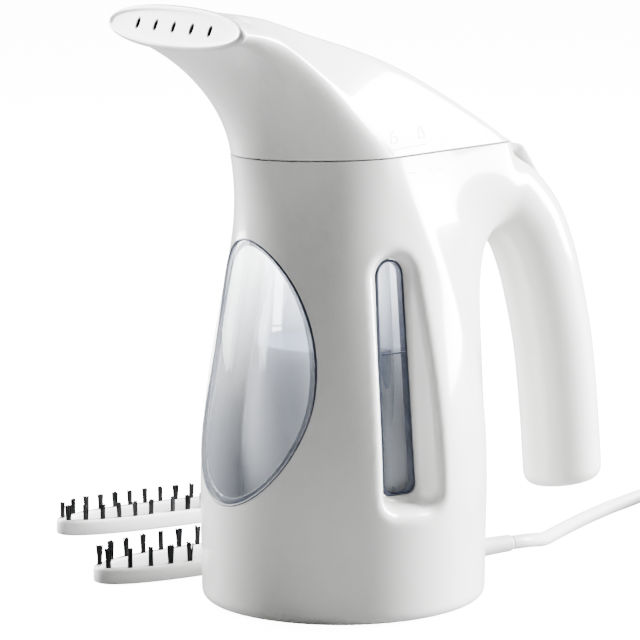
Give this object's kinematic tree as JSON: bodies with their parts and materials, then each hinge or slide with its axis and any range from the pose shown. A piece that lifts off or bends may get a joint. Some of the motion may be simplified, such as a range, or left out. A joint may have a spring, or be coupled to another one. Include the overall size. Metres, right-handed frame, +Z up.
{
  "type": "garment steamer",
  "caption": "Handheld garment steamer: kettle-shaped body, forward-curving oval nozzle head that twists and lifts off, tank window, tail handle, and two ring brushes.",
  "frame": {"origin": "middle of the flat underside of the base, on the surface the steamer stands on", "axes": "+Z up; -Y towards the nozzle, +Y towards the handle; +X the side with the recessed gauge seen from the front right"},
  "size_m": [0.2411, 0.3717, 0.2377],
  "materials": {
    "casing_white": "polished white ABS, high gloss",
    "switch_white": "glossy white",
    "matt_white": "white polypropylene, satin",
    "brush_white": "pale grey-white, satin",
    "smoked_window": "smoky blue-grey clear plastic, polished",
    "clear_window": "clear plastic, polished",
    "tank_clear": "clear plastic",
    "dark_seal": "dark gasket",
    "grey_rubber": "grey silicone rubber",
    "cord_relief": "white flexible PVC",
    "cord_jacket": "white PVC jacket, satin",
    "plug_white": "white moulded PVC",
    "plug_brass": "nickel-brass pins",
    "cast_aluminium": "cast and machined",
    "screw_steel": "zinc plated",
    "element_steel": "stainless sheath",
    "fuse_metal": "plain",
    "black_plastic": "black nylon",
    "grey_plastic": "grey nylon",
    "wire_brown": "brown insulation",
    "wire_blue": "blue insulation",
    "wire_heatproof": "woven glass sleeve",
    "bristle_black": "black nylon bristle"
  },
  "bodies": {
    "base_unit": {"body_shell": "casing_white", "handle_end_cap": "casing_white", "neck_deck": "matt_white", "base_plate": "matt_white", "boiler_column": "matt_white", "front_window": "smoked_window", "side_window_right": "clear_window", "side_window_left": "clear_window", "water_tank": "tank_clear", "front_window_seal": "dark_seal", "side_window_seal_right": "dark_seal", "side_window_seal_left": "dark_seal", "foot_1": "grey_rubber", "foot_2": "grey_rubber", "foot_3": "grey_rubber", "foot_4": "grey_rubber", "strain_relief": "cord_relief", "plug_relief": "cord_relief", "power_cord": "cord_jacket", "cord_coil": "cord_jacket", "cord_tail": "cord_jacket", "plug_body": "plug_white", "plug_pin_1": "plug_brass", "plug_pin_2": "plug_brass", "heater_plate": "cast_aluminium", "deck_screw_1": "screw_steel", "deck_screw_2": "screw_steel", "deck_screw_3": "screw_steel", "base_screw_1": "screw_steel", "base_screw_2": "screw_steel", "base_screw_3": "screw_steel", "base_screw_4": "screw_steel", "heating_element": "element_steel", "thermal_fuse": "fuse_metal", "thermostat": "black_plastic", "terminal_block": "black_plastic", "switch_housing": "black_plastic", "coil_tie": "black_plastic", "cord_clamp": "grey_plastic", "switch_wire_live": "wire_brown", "switch_wire_return": "wire_blue", "heater_wire_live": "wire_heatproof", "heater_wire_return": "wire_heatproof"},
    "seal_ring": {"neck_seal": "grey_rubber"},
    "head_unit": {"head_shell": "casing_white", "head_collar": "matt_white", "collar_screw_1": "screw_steel", "collar_screw_2": "screw_steel", "nozzle_plate": "casing_white", "nozzle_gasket": "grey_rubber", "steam_duct": "matt_white", "spit_baffle": "cast_aluminium"},
    "rocker": {"switch_rocker": "switch_white"},
    "fine_brush": {"brush_frame_fine": "brush_white", "brush_bristles_fine": "bristle_black"},
    "wide_brush": {"brush_frame_wide": "brush_white", "brush_bristles_wide": "bristle_black"}
  },
  "joints": [
    {"name": "head_lift", "type": "slide", "parent": "base_unit", "child": "seal_ring", "axis": [0, 0, 1], "range_m": [0, 0.06]},
    {"name": "head_twist", "type": "hinge", "parent": "seal_ring", "child": "head_unit", "pos_m": [0, -0.012, 0.178], "axis": [0, 0, 1], "range_deg": [0, 22]},
    {"name": "switch_rock", "type": "hinge", "parent": "base_unit", "child": "rocker", "pos_m": [0, 0.0839, 0.1653], "axis": [1, 0, 0], "range_deg": [0, 12]},
    {"name": "fine_brush_lift", "type": "slide", "parent": "base_unit", "child": "fine_brush", "axis": [0, 0, 1], "range_m": [0, 0.04]},
    {"name": "wide_brush_lift", "type": "slide", "parent": "base_unit", "child": "wide_brush", "axis": [0, 0, 1], "range_m": [0, 0.04]}
  ]
}
